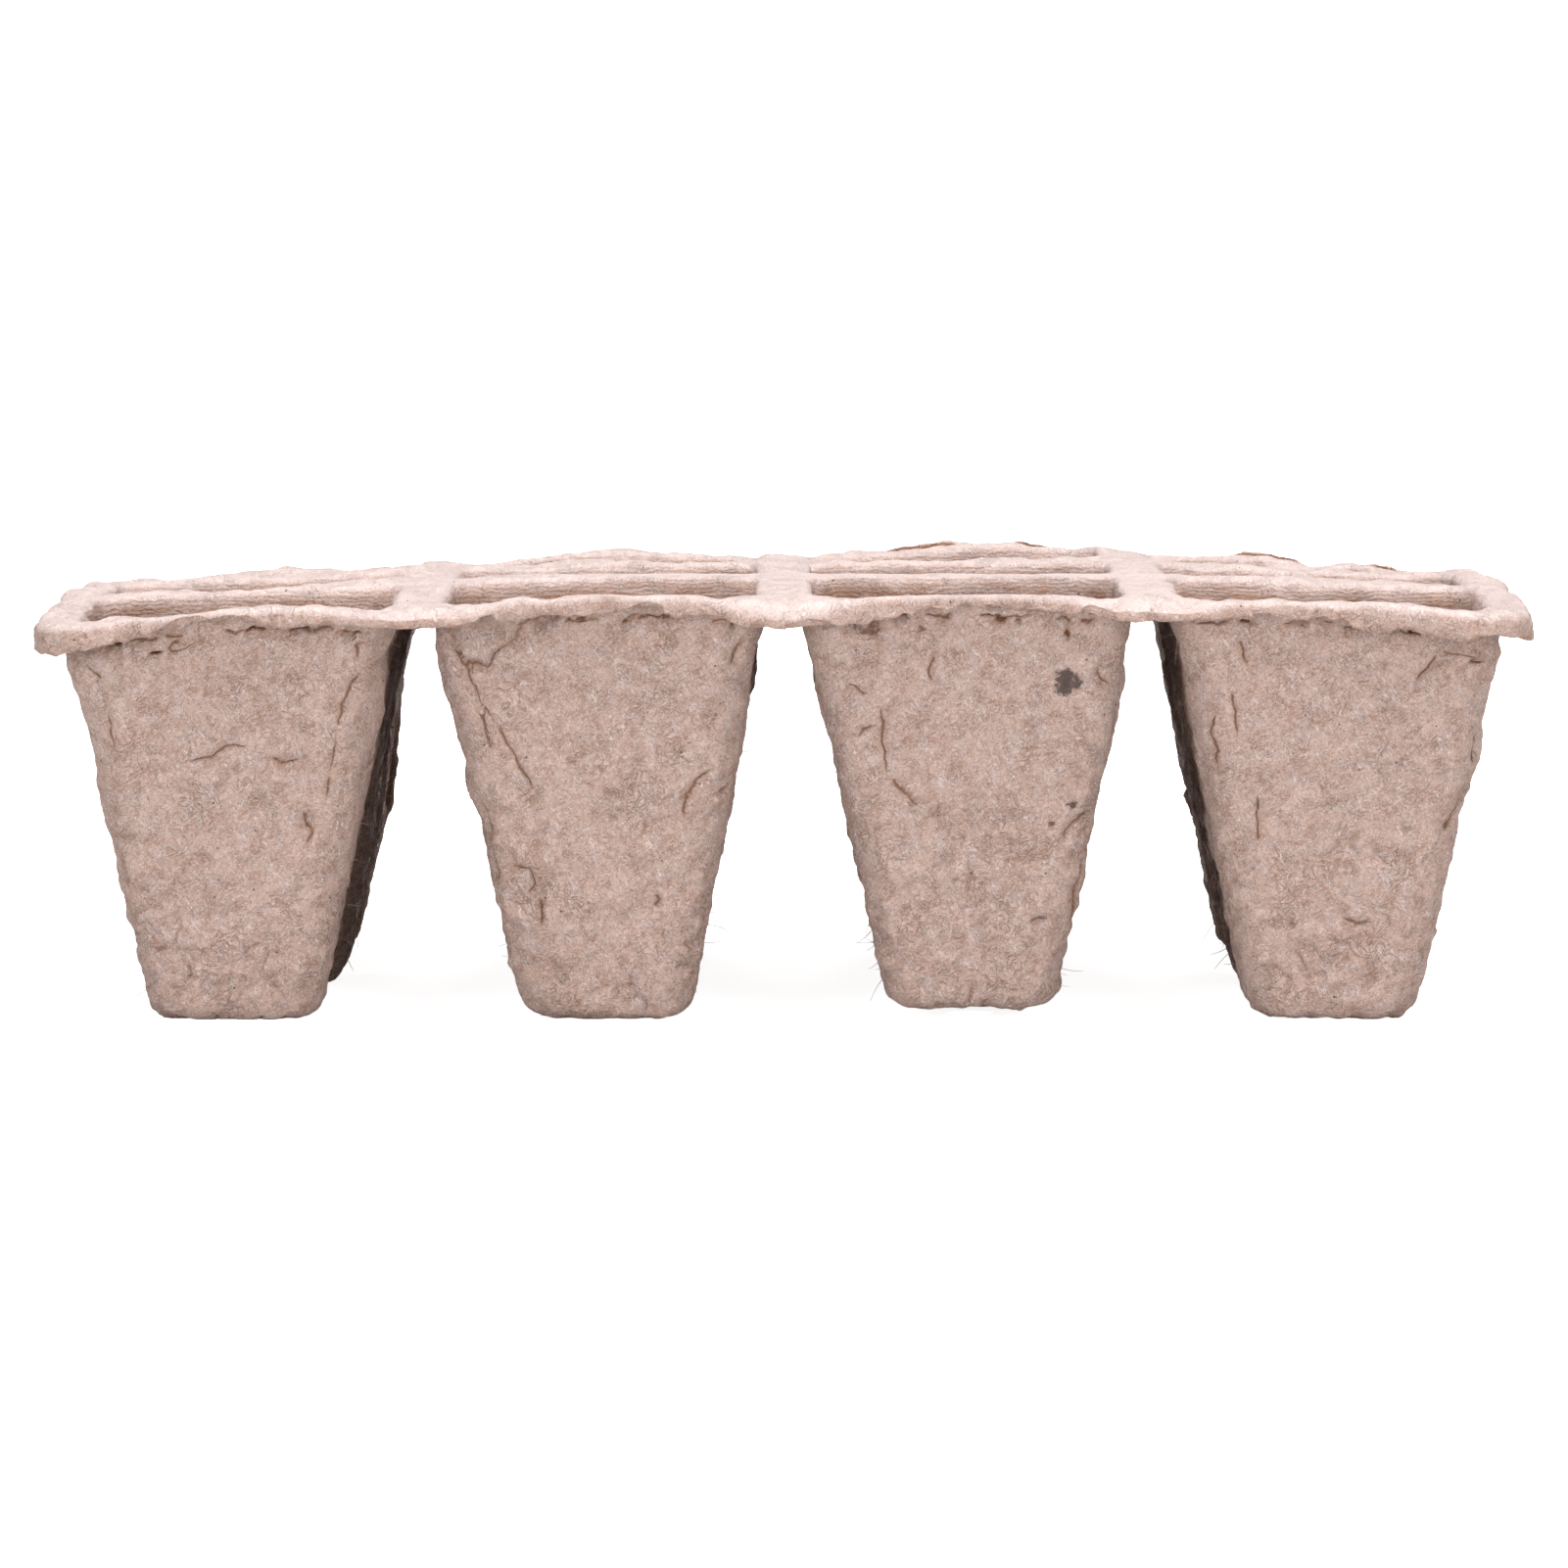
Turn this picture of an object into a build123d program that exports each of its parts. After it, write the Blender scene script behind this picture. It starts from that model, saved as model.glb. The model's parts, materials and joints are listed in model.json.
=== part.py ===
from build123d import *

import math
import os

# A moulded pulp seed tray: square tapered peat pots in rows, joined at the rim by thin webs that tear.

# Driving dimensions, in millimetres and degrees.
# The count of pots along X and along Y.
columns = 4
rows = 3
# From one pot's centre to the next, both ways.
pitch = 45.0
# From the surface that the tray stands on to the top of the deck.
height = 52.0
# Outside width of a pot's foot, before its bottom edge is rounded.
foot_width = 20.4
# Gap between neighbouring pots, just under the deck.
pot_gap = 3.7
# Thickness of the pulp in the walls, the floor and the deck.
wall = 1.6
floor = 1.7
deck = 1.5
# Radius of a pot's leaning corners, on the outside.
pot_corner = 5.0
# Radius of the bottom edge, on the outside and on the inside.
foot_round = 3.4
floor_round = 2.4
# The mouth's top edge opens out over this depth, at a slant from upright.
mouth_bevel = 1.2
mouth_slant = 45.0
# Water leaves through one round hole in each floor.
drain_diameter = 5.0

# The hem goes round the whole tray: the deck's edge, turned down.
hem_reach = 2.1
hem_thickness = 1.3
hem_drop = 4.2
hem_bevel = 1.3
tray_corner = 8.0
# How far the hem's lower edge rises in an arch in front of each pot.
hem_arch = 1.3

# One overrun serves all cuts.
overrun = 1.0

tray_length = columns * pitch + 2 * hem_reach
tray_depth = rows * pitch + 2 * hem_reach
deck_underside = height - deck
hem_edge = height - hem_drop
# Under the deck a pot fills its pitch but for the gap, and its four walls lean in from there to the foot.
rim_width = pitch - pot_gap
lean = (rim_width - foot_width) / (2 * deck_underside)
draft_angle = math.degrees(math.atan(lean))
# The pulp is measured square to a wall, so a level cut through the wall is a little thicker.
level_wall = wall / math.cos(math.radians(draft_angle))

row_names = ["front", "middle", "back"]
row_names += [f"row_{number}" for number in range(len(row_names) + 1, rows + 1)]


def outside_width(level):
    """Outside width of a pot at a height above the foot."""
    return foot_width + 2 * level * lean


def inside_width(level):
    """Inside width of a pot at a height above the foot."""
    return outside_width(level) - 2 * level_wall


def leaning_block(low, high, low_width):
    """A sharp-edged square block whose four sides lean outwards as they rise."""
    with BuildPart() as block:
        with BuildSketch(Plane.XY.offset(low)):
            Rectangle(low_width, low_width)
        extrude(amount=high - low)
        draft(block.faces().sort_by(Axis.Z)[1:-1], Plane.XY.offset(low), -draft_angle)
    return block.part


def moulded_block(low, high, low_width, corner, bottom_round):
    """A leaning block with round corners, and a round bottom edge that is mitred where the corners cross it."""
    sharp = leaning_block(low, high, low_width)
    with BuildPart() as bottom_rounded:
        add(sharp)
        fillet(bottom_rounded.edges().sort_by(Axis.Z)[:4], bottom_round)
    with BuildPart() as moulded:
        add(sharp)
        fillet(moulded.edges().sort_by(Axis.Z)[4:-4], corner)
        add(bottom_rounded.part, mode=Mode.INTERSECT)
    return moulded.part


# The outer form of one cup, from its foot to the deck.
cup_form = moulded_block(0, deck_underside, foot_width, pot_corner, foot_round)

# The flare of one mouth, which opens out up to the deck.
inner_corner = pot_corner - wall
mouth_level = height - mouth_bevel
with BuildPart() as mouth_flare:
    with BuildSketch(Plane.XY.offset(mouth_level)):
        RectangleRounded(inside_width(mouth_level), inside_width(mouth_level), inner_corner)
    extrude(amount=mouth_bevel + overrun)
    draft(mouth_flare.faces().sort_by(Axis.Z)[1:-1], Plane.XY.offset(mouth_level), -mouth_slant)

# The space inside one cup: from its floor up through the deck, its flared mouth and its drain hole.
cup_inside = moulded_block(floor, height + overrun, inside_width(floor), inner_corner, floor_round)
with BuildPart() as cup_space:
    add(cup_inside)
    add(mouth_flare.part)
    with BuildSketch(Plane.XY.offset(floor)):
        Circle(drain_diameter / 2)
    extrude(amount=-(floor + overrun))

# The hollow under the deck, inside the hem.
with BuildPart() as deck_hollow:
    with BuildSketch(Plane.XY.offset(deck_underside)):
        RectangleRounded(
            tray_length - 2 * hem_thickness, tray_depth - 2 * hem_thickness, tray_corner - hem_thickness
        )
    extrude(amount=-(hem_drop + overrun))

# The whole deck with its hem, before it is shared out among the pots.
with BuildPart() as deck_sheet:
    with BuildSketch(Plane.XY.offset(height)):
        RectangleRounded(tray_length, tray_depth, tray_corner)
    extrude(amount=-hem_drop)
    chamfer(deck_sheet.faces().sort_by(Axis.Z)[-1].edges(), hem_bevel)
    add(deck_hollow.part, mode=Mode.SUBTRACT)


def arch_cutter(centre_x, centre_y, out):
    """A long low arch across one pot's stretch of hem, on the pot's side that faces out."""
    half = pitch / 2
    along = out.cross(Vector(0, 0, 1))
    plane = Plane(origin=(centre_x, centre_y, 0), x_dir=-along, z_dir=out)
    with BuildPart() as cutter:
        with BuildSketch(plane):
            with BuildLine():
                ThreePointArc((-half, hem_edge), (0, hem_edge + hem_arch), (half, hem_edge))
                Polyline(
                    (half, hem_edge), (half, hem_edge - overrun), (-half, hem_edge - overrun), (-half, hem_edge)
                )
            make_face()
        extrude(amount=half + hem_reach + overrun)
    return cutter.part


def pot(column, row):
    """One pot with its share of the deck and, at the tray's border, its stretch of hem."""
    centre_x = (column - (columns - 1) / 2) * pitch
    centre_y = (row - (rows - 1) / 2) * pitch
    outward = []
    if column == 0:
        outward.append(Vector(-1, 0, 0))
    if column == columns - 1:
        outward.append(Vector(1, 0, 0))
    if row == 0:
        outward.append(Vector(0, -1, 0))
    if row == rows - 1:
        outward.append(Vector(0, 1, 0))
    # The pot's cell reaches past the hem on the tray's border, and stops at the tear lines elsewhere.
    border = hem_reach + overrun
    cell_low = Vector(-pitch / 2, -pitch / 2)
    cell_high = Vector(pitch / 2, pitch / 2)
    for out in outward:
        cell_low += Vector(min(out.X, 0), min(out.Y, 0)) * border
        cell_high += Vector(max(out.X, 0), max(out.Y, 0)) * border
    cell = cell_high - cell_low
    middle = (cell_low + cell_high) / 2
    arches = [arch_cutter(centre_x, centre_y, out) for out in outward]
    with BuildPart() as made:
        add(deck_sheet.part)
        with BuildSketch(Plane.XY):
            with Locations((centre_x + middle.X, centre_y + middle.Y)):
                Rectangle(cell.X, cell.Y)
        extrude(amount=height + overrun, mode=Mode.INTERSECT)
        for arch in arches:
            add(arch, mode=Mode.SUBTRACT)
        with Locations((centre_x, centre_y)):
            add(cup_form)
            add(cup_space.part, mode=Mode.SUBTRACT)
    return made.part


os.makedirs("parts", exist_ok=True)
for row in range(rows):
    for column in range(columns):
        name = f"{row_names[row]}_pot_{column + 1}"
        made_pot = pot(column, row)
        made_pot.label = name
        export_step(made_pot, f"parts/{name}.step")

print("tray", round(tray_length, 2), "x", round(tray_depth, 2), "x", height)
print("mouth inside", round(inside_width(height), 2), "floor inside", round(inside_width(floor), 2))
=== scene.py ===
import json
import math
from itertools import product

import bmesh
import bpy
import numpy as np
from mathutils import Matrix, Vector

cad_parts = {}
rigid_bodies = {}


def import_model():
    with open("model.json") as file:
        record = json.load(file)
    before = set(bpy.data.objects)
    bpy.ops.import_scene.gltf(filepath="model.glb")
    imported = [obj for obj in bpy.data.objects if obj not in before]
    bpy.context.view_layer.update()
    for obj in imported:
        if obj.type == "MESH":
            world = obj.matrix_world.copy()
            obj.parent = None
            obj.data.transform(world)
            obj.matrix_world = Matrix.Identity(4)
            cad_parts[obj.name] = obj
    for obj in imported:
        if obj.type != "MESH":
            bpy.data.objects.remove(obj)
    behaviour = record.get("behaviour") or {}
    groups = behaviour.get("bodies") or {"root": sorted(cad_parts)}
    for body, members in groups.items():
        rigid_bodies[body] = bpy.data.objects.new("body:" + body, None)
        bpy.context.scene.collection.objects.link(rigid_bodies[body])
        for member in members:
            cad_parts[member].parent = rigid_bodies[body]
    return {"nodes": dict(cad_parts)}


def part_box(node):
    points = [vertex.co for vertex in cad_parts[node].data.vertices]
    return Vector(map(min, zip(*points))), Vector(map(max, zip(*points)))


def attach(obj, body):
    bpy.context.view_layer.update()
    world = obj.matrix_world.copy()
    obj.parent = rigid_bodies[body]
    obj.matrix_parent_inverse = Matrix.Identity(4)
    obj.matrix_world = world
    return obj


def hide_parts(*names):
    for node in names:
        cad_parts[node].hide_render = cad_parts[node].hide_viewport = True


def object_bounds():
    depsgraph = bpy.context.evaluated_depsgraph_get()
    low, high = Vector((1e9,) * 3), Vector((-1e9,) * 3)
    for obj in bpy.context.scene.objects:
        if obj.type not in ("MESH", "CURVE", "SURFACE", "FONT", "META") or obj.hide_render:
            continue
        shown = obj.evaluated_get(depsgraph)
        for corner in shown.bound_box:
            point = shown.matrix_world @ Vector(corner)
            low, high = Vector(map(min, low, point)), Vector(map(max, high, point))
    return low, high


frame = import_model()

bl_info = {
    "name": "Peat pot tray",
    "version": (1, 0, 0),
    "blender": (4, 5, 0),
    "location": "3D View > Sidebar > Peat tray",
    "description": "Dresses a tray of moulded pulp pots with rough walls, a rolled hem and loose fibres",
    "category": "Object",
}

# One millimetre in the scene's metres. The shapes below are worked out in millimetres.
MM = 0.001
ROW_NAMES = ("front", "middle", "back")
CAD_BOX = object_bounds()
POTS_ACROSS = sum(name.startswith(ROW_NAMES[0]) for name in frame["nodes"])
INNER_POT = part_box("middle_pot_2")


def length(name, description, millimetres):
    """A size that a user can change, shown in the scene's units."""
    return bpy.props.FloatProperty(
        name=name, description=description, default=millimetres * MM, min=0.0, unit="LENGTH", precision=5
    )


def colour(name, description, *shade):
    """A colour that a user can change."""
    return bpy.props.FloatVectorProperty(
        name=name, description=description, default=shade, min=0.0, max=1.0, subtype="COLOR", size=3
    )


def power(name, description, watts):
    """A lamp's power that a user can change."""
    return bpy.props.FloatProperty(name=name, description=description, default=watts, min=0.0, unit="POWER")


class PotSizes(bpy.types.PropertyGroup):
    pitch: length("Pitch", "From one pot's centre to the next", (INNER_POT[1] - INNER_POT[0]).x / MM)
    height: length("Height", "From the surface that the tray stands on to its deck", CAD_BOX[1].z / MM)
    foot_width: length("Foot width", "Outside width of a pot at its foot", 20.4)
    pot_gap: length("Pot gap", "Gap between two pots just under the deck", 3.7)
    wall: length("Wall", "Thickness of a pot's wall", 1.6)
    floor: length("Floor", "Thickness of a pot's floor", 1.7)
    deck: length("Deck", "Thickness of the deck", 1.5)
    hem_edge: length("Hem edge", "Thickness of the hem where it ends", 1.1)
    pot_corner: length("Pot corner", "Outside radius of a pot's leaning corners", 5.0)
    foot_round: length("Foot rounding", "Outside radius round a pot's foot", 3.4)
    floor_round: length("Floor rounding", "Inside radius round a pot's floor", 2.4)
    mouth_round: length("Mouth rounding", "Radius over the mouth's edge", 1.1)
    under_round: length("Under rounding", "Radius where a wall meets the underside of the deck", 3.0)
    drain: length("Drain hole", "Diameter of the hole in the floor", 5.0)
    tray_corner: length("Tray corner", "Radius of the deck's corners before the hem turns down", 5.9)


class FibreSizes(bpy.types.PropertyGroup):
    thickness: length("Fibre thickness", "Thickness of a loose fibre at its root", 0.10)
    longest: length("Longest fibre", "Length of the longest loose fibre", 3.6)
    count: bpy.props.IntProperty(name="Fibres", description="Loose fibres on each pot", default=60, min=1)


class PulpLook(bpy.types.PropertyGroup):
    body: colour("Pulp", "Colour of the pulp", 0.62, 0.445, 0.370)
    pale: colour("Pale fibres", "Colour of the palest fibres", 0.89, 0.745, 0.705)
    # The pale end of the pulp's random tone, and the painted light on the upper faces and inside the pots.
    pale_tone_and_painted_light: colour("Pale pulp and painted light", "Colour of the pulp on the deck", 0.73, 0.575, 0.545)
    dark: colour("Dark fibres", "Colour of the dark fibres", 0.37, 0.212, 0.148)
    # Besides the torn pulp's brown, this colour is the painted shade in puckers, inside the pots and along
    # the hem's lip.
    torn: colour("Torn pulp", "Colour round cracks and torn places", 0.40, 0.20, 0.11)
    # Deep in cracks and holes, and on the back border's torn edge, this colour is painted shade.
    crack: colour("Cracks", "Colour deep inside cracks and holes", 0.17, 0.075, 0.040)
    speck: colour("Specks", "Colour of the dark specks", 0.07, 0.045, 0.035)
    glint: colour("Glints", "Colour of the white specks", 0.95, 0.93, 0.92)
    stain: colour("Stain", "Colour of the stain on one pot", 0.085, 0.06, 0.055)
    roughness: bpy.props.FloatProperty(
        name="Roughness", description="Roughness of the pulp",
        default=0.92, min=0.0, max=1.0, subtype="FACTOR",
    )


class StageLook(bpy.types.PropertyGroup):
    backdrop: colour("Backdrop", "Colour behind the tray", 1.0, 1.0, 1.0)
    floor: colour("Floor", "Colour of the floor", 0.86, 0.86, 0.86)
    key: power("Key lamp", "Power of the big lamp above the front", 17.9)
    front: power("Front lamps", "Power of each lamp beside the camera", 9.3)
    back: power("Back lamps", "Power of each low lamp behind the tray", 7.0)
    air: bpy.props.FloatProperty(
        name="Air", description="Strength of the light from all round", default=0.42, min=0.0
    )


# The camera, in metres and degrees, worked out from how the rows stand behind one another in the picture.
PHOTO_PIXELS = 1601
FOCAL_PIXELS = 11723
CAMERA_BACK = 1.47
CAMERA_UP = 0.135
CAMERA_DOWN = 4.269

# Random lumps, the same on each run. These factors scatter a place and a seed into bits that look random.
PLACE_FACTORS = (374761393, 668265263, 2147483647)
SEED_FACTOR = 974711
STIR_FACTORS = ((13, 1274126177), (16, 2246822519))


def lumps(points, size, seed):
    """Smooth noise, about -1 to 1, with lumps of that size in millimetres."""
    place = points / size + seed * 7.31
    cell = np.floor(place).astype(np.int64)
    part = place - cell
    ease = part ** 3 * (part * (part * 6 - 15) + 10)
    total = np.zeros(points.shape[:-1])
    for corner in product((0, 1), repeat=3):
        bits = ((cell + corner) * PLACE_FACTORS).sum(axis=-1) + seed * SEED_FACTOR
        for shift, factor in STIR_FACTORS:
            bits = (bits ^ (bits >> shift)) * factor & 0xFFFFFFFF
        bits = bits ^ (bits >> 15)
        share = np.ones(points.shape[:-1])
        slope = np.zeros(points.shape[:-1])
        for axis in range(3):
            lean = ((bits >> (axis * 10)) & 1023) / 511.5 - 1
            slope += lean * (part[..., axis] - corner[axis])
            share *= ease[..., axis] if corner[axis] else 1 - ease[..., axis]
        total += share * slope
    return total * 1.6


def rough(points, *layers):
    """Several kinds of lumps together, each with its height, its size and its seed."""
    return sum(height * lumps(points, size, seed) for height, size, seed in layers)


def smooth(value, low, high):
    """0 below low, 1 above high, and an even curve between them."""
    share = np.clip((value - low) / (high - low), 0, 1)
    return share * share * (3 - 2 * share)


def ridge(distance, width):
    """1 on a line, and less the further from it."""
    return np.exp(-((distance / width) ** 2))


def between(first, last, share):
    """What lies that share of the way from first to last."""
    return first + (last - first) * share


# The rings that make one pot, all round the section of its pulp.


class Sizes:
    """The pot's sizes in millimetres, with what follows from them."""

    def __init__(self, group):
        for name in PotSizes.__annotations__:
            setattr(self, name, getattr(group, name) / MM)
        self.lean = (self.pitch - self.pot_gap - self.foot_width) / (2 * (self.height - self.deck))
        self.draft = math.atan(self.lean)
        self.turn = math.pi / 2 - self.draft
        self.level_wall = self.wall / math.cos(self.draft)
        self.half_x = POTS_ACROSS * self.pitch / 2
        self.half_y = len(ROW_NAMES) * self.pitch / 2

    def outside(self, height):
        """Half the outside width of a pot at a height."""
        return self.foot_width / 2 + height * self.lean

    def inside(self, height):
        """Half the inside width of a pot at a height."""
        return self.outside(height) - self.level_wall


# How many columns of points stand on each flat side and each round corner of a pot.
FLAT_COLUMNS = (81, 57, 81, 57)
BEND_COLUMNS = 11
# How many rings of points lie on each of its parts, in the order of its section.
DECK_RINGS, MOUTH_RINGS, WALL_RINGS_INSIDE, FLOOR_BEND_RINGS, FLOOR_RINGS = 16, 9, 48, 7, 10
DRAIN_RINGS, FOOT_RINGS, FOOT_BEND_RINGS, WALL_RINGS_OUTSIDE, UNDER_RINGS, LIP_RINGS = 5, 9, 10, 104, 18, 5
# The four sides of a pot: front, right, back and left.
SIDES = np.array([(0.0, -1.0), (1.0, 0.0), (0.0, 1.0), (-1.0, 0.0)])
# How soft the drain hole's edge is, and the least radius of a pot's corners.
DRAIN_SOFT = 0.35
LEAST_CORNER = 1.0


def column_ways():
    """Each column's corner centre, the way it faces, its side, and its shares along it and round a corner."""
    columns = []
    for number in range(4):
        out, onward = SIDES[number], SIDES[(number + 1) % 4]
        for share in np.linspace(-1, 1, FLAT_COLUMNS[number]):
            columns.append((out + onward * share, out, number, share, 0.0))
        for step in range(1, BEND_COLUMNS + 1):
            turned = step / (BEND_COLUMNS + 1)
            angle = turned * math.pi / 2
            way = out * math.cos(angle) + onward * math.sin(angle)
            columns.append((out + onward, way, number, 1.0, turned))
    return [np.array(part) for part in zip(*columns)]


def cup_rings(sizes):
    """Half width, corner radius, height and zone of the rings from the mouth down inside and up outside."""
    rings = []

    def bend(middle, level, radius, angles, wall_half, corner, zone):
        for angle in angles:
            half = middle + radius * math.sin(angle)
            height = level + radius * (1 - math.cos(angle))
            rings.append((half, max(corner + half - wall_half(height), LEAST_CORNER), height, zone))

    def flat(first, last, height, shares, zone):
        for share in shares:
            rings.append((*between(np.array(first), np.array(last), share), height, zone))

    # Over the mouth's edge, down the inner wall and round to the floor.
    inner = sizes.pot_corner - sizes.wall
    reach = math.tan(sizes.turn / 2)
    edge = sizes.inside(sizes.height) + sizes.mouth_round * reach
    angles = np.linspace(0, sizes.turn, MOUTH_RINGS)
    bend(edge, sizes.height, -sizes.mouth_round, angles, sizes.inside, inner, "mouth")
    low = sizes.floor + sizes.floor_round * (1 - math.cos(sizes.turn))
    for height in np.linspace(rings[-1][2], low, WALL_RINGS_INSIDE)[1:]:
        rings.append((sizes.inside(height), inner, height, "inner"))
    edge = sizes.inside(sizes.floor) - sizes.floor_round * reach
    angles = np.linspace(sizes.turn, 0, FLOOR_BEND_RINGS)[1:]
    bend(edge, sizes.floor, sizes.floor_round, angles, sizes.inside, inner, "floor")
    # Over the floor, where the square turns into the round drain hole, and back out under the foot.
    hole = sizes.drain / 2
    soft_hole = (hole + DRAIN_SOFT,) * 2
    flat(rings[-1][:2], soft_hole, sizes.floor, np.linspace(0, 1, FLOOR_RINGS)[1:], "floor")
    for height in np.linspace(sizes.floor - DRAIN_SOFT, DRAIN_SOFT, DRAIN_RINGS):
        rings.append((hole, hole, height, "drain"))
    foot = sizes.outside(0) - sizes.foot_round * reach
    corner = max(sizes.pot_corner + foot - sizes.outside(0), LEAST_CORNER)
    flat(soft_hole, (foot, corner), 0.0, np.linspace(0, 1, FOOT_RINGS), "foot")
    # Round the foot and up the outer wall.
    angles = np.linspace(0, sizes.turn, FOOT_BEND_RINGS)[1:]
    bend(foot, 0, sizes.foot_round, angles, sizes.outside, sizes.pot_corner, "outer")
    top = sizes.height - sizes.deck - sizes.under_round
    for height in np.linspace(rings[-1][2], top, WALL_RINGS_OUTSIDE)[1:]:
        rings.append((sizes.outside(height), sizes.pot_corner, height, "outer"))
    return rings


# How far the hem hangs down: in plain places, more round a corner of the tray, and along the front, read from
# the picture.
HEM_PLAIN = 2.3
HEM_MORE = 0.7
HEM_PLACES = (
    -88, -84, -81, -77, -74, -70, -66, -62, -59, -54, -50, -45, -38, -31, -24, -17, -11, -5,
    0, 7, 14, 21, 27, 34, 40, 45, 51, 60, 64, 68, 71.5, 77, 82, 86, 90,
)
HEM_HEIGHTS = (
    3.2, 2.7, 2.2, 1.7, 1.3, 1.3, 1.5, 1.4, 1.3, 1.4, 1.3, 1.6, 1.8, 1.9, 1.5, 1.2, 1.3, 1.8,
    2.5, 3.0, 2.3, 1.7, 1.2, 1.4, 1.7, 1.4, 1.7, 1.5, 1.8, 2.1, 3.1, 2.4, 3.1, 2.1, 1.9,
)
# How far a saddle reaches along the hem from its tear line.
SADDLE_REACH = 11.0
# Where the hem's roll starts past the border, how much sooner in front of a pot and in a saddle, its radius,
# what a saddle adds to that, and how far it turns.
ROLL_START, SOONER_IN_FRONT, SOONER_IN_SADDLE = 0.6, 1.3, 3.8
ROLL_RADIUS, MORE_IN_SADDLE = 1.5, 4.0
ROLL_TURN = math.radians(95)


def nearest_tear(along, half, pitch):
    """Distance from a place along the border to the nearest line where the tray tears."""
    lines = np.arange(-half + pitch, half - pitch / 2, pitch)
    return np.min(np.abs(along[..., None] - lines), axis=-1)


def saddle_share(place, way, sizes):
    """1 where the hem passes between two pots and 0 in front of one."""
    across = 1 - smooth(nearest_tear(place[..., 0], sizes.half_x, sizes.pitch), 0, SADDLE_REACH)
    deep = 1 - smooth(nearest_tear(place[..., 1], sizes.half_y, sizes.pitch), 0, SADDLE_REACH)
    return across * way[..., 1] ** 2 + deep * way[..., 0] ** 2


def hem_height(place, sizes):
    """How far the hem hangs down. It is widest round the tray's corners."""
    half = np.array((sizes.half_x, sizes.half_y))
    corner = smooth(np.abs(place), half - 16, half - 2).prod(axis=-1)
    front = np.interp(place[..., 0], HEM_PLACES, HEM_HEIGHTS)
    at_front = smooth(-place[..., 1], sizes.half_y - 6, sizes.half_y - 1)
    return between(HEM_PLAIN + HEM_MORE * corner, front, at_front)


def hem_roll(place, way, sizes):
    """Where the hem's roll starts, its radius, its full turn and the straight part after it."""
    saddle = saddle_share(place, way, sizes)
    height = hem_height(place, sizes)
    # In front of each front pot the hem lies closer to the wall.
    close = 1 - smooth(np.abs(place[..., 0]), sizes.half_x - 14, sizes.half_x - 4)
    close = close * np.clip(-way[..., 1], 0, 1) ** 2
    start = ROLL_START - SOONER_IN_FRONT * close * (1 - saddle) - SOONER_IN_SADDLE * saddle
    radius = ROLL_RADIUS + MORE_IN_SADDLE * saddle
    full = (1 - math.cos(ROLL_TURN)) * radius
    turn = np.where(height < full, np.arccos(np.clip(1 - height / radius, -1, 1)), ROLL_TURN)
    return start, radius, turn, np.maximum(height - full, 0)


def border_of(place, sizes):
    """Signed distance past the deck's border and the way straight out from it."""
    half = np.array((sizes.half_x, sizes.half_y)) - sizes.tray_corner
    past = np.abs(place) - half
    in_corner = (past > 0).all(axis=-1)
    reach = np.hypot(past[..., 0], past[..., 1])
    distance = np.where(in_corner, reach, past.max(axis=-1)) - sizes.tray_corner
    along_x = past[..., 0] > past[..., 1]
    straight = np.stack((along_x, ~along_x), axis=-1).astype(float)
    round_way = past / np.maximum(reach, 1e-9)[..., None]
    way = np.where(in_corner[..., None], round_way, straight) * np.sign(place)
    return distance, way


def roll_over(place, depth, sizes):
    """Bends the flat deck down over its border. depth is how far below the deck's top a point lies."""
    distance, way = border_of(place, sizes)
    start, radius, turn, _ = hem_roll(place, way, sizes)
    past = distance - start
    bent = np.clip(past, 0, radius * turn)
    beyond = np.maximum(past - bent, 0) * (past > 0)
    angle = bent / radius
    forward = np.where(past > 0, radius * np.sin(angle) + beyond * np.cos(angle), past)
    drop = radius * (1 - np.cos(angle)) + beyond * np.sin(angle)
    moved = place + way * (start + forward - distance - depth * np.sin(angle))[..., None]
    return np.concatenate((moved, (sizes.height - drop - depth * np.cos(angle))[..., None]), axis=-1)


def outline(centre, ways, borders, sizes):
    """The flat place where each column of the deck ends: at a tear line, or at the hem's ragged edge."""
    _, way, side, along, turned = ways
    half = sizes.pitch / 2
    flat_half = sizes.inside(sizes.height) - (sizes.pot_corner - sizes.wall)
    ends, spread = np.zeros((2, len(side), 2))
    for number, (facing, bend) in enumerate(zip(side, turned)):
        out, onward = SIDES[facing], SIDES[(facing + 1) % 4]
        here, after = borders[facing], borders[(facing + 1) % 4]
        if bend == 0:
            ends[number] = out * half + onward * along[number] * flat_half
            spread[number] = out * here
        elif here and after:
            ends[number] = (out + onward) * (half - sizes.tray_corner) + way[number] * sizes.tray_corner
            spread[number] = way[number]
        else:
            if bend > 0.5:
                out, onward, here, after = onward, out, after, here
            share = 2 * min(bend, 1 - bend)
            ends[number] = out * half + onward * between(flat_half, half, share)
            spread[number] = out * here + onward * after * share
    place = ends + centre
    # The way out is looked up a touch further out, off the border itself.
    _, border_way = border_of(place * 1.0001, sizes)
    start, radius, turn, straight = hem_roll(place, border_way, sizes)
    level = np.concatenate((place, np.zeros((len(place), 1))), axis=1)
    ragged = rough(level, (0.3, 5.0, 3), (0.3, 2.0, 4), (0.25, 0.9, 5))
    spare = start + radius * turn + straight + ragged
    return place + spread * spare[:, None]


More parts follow.
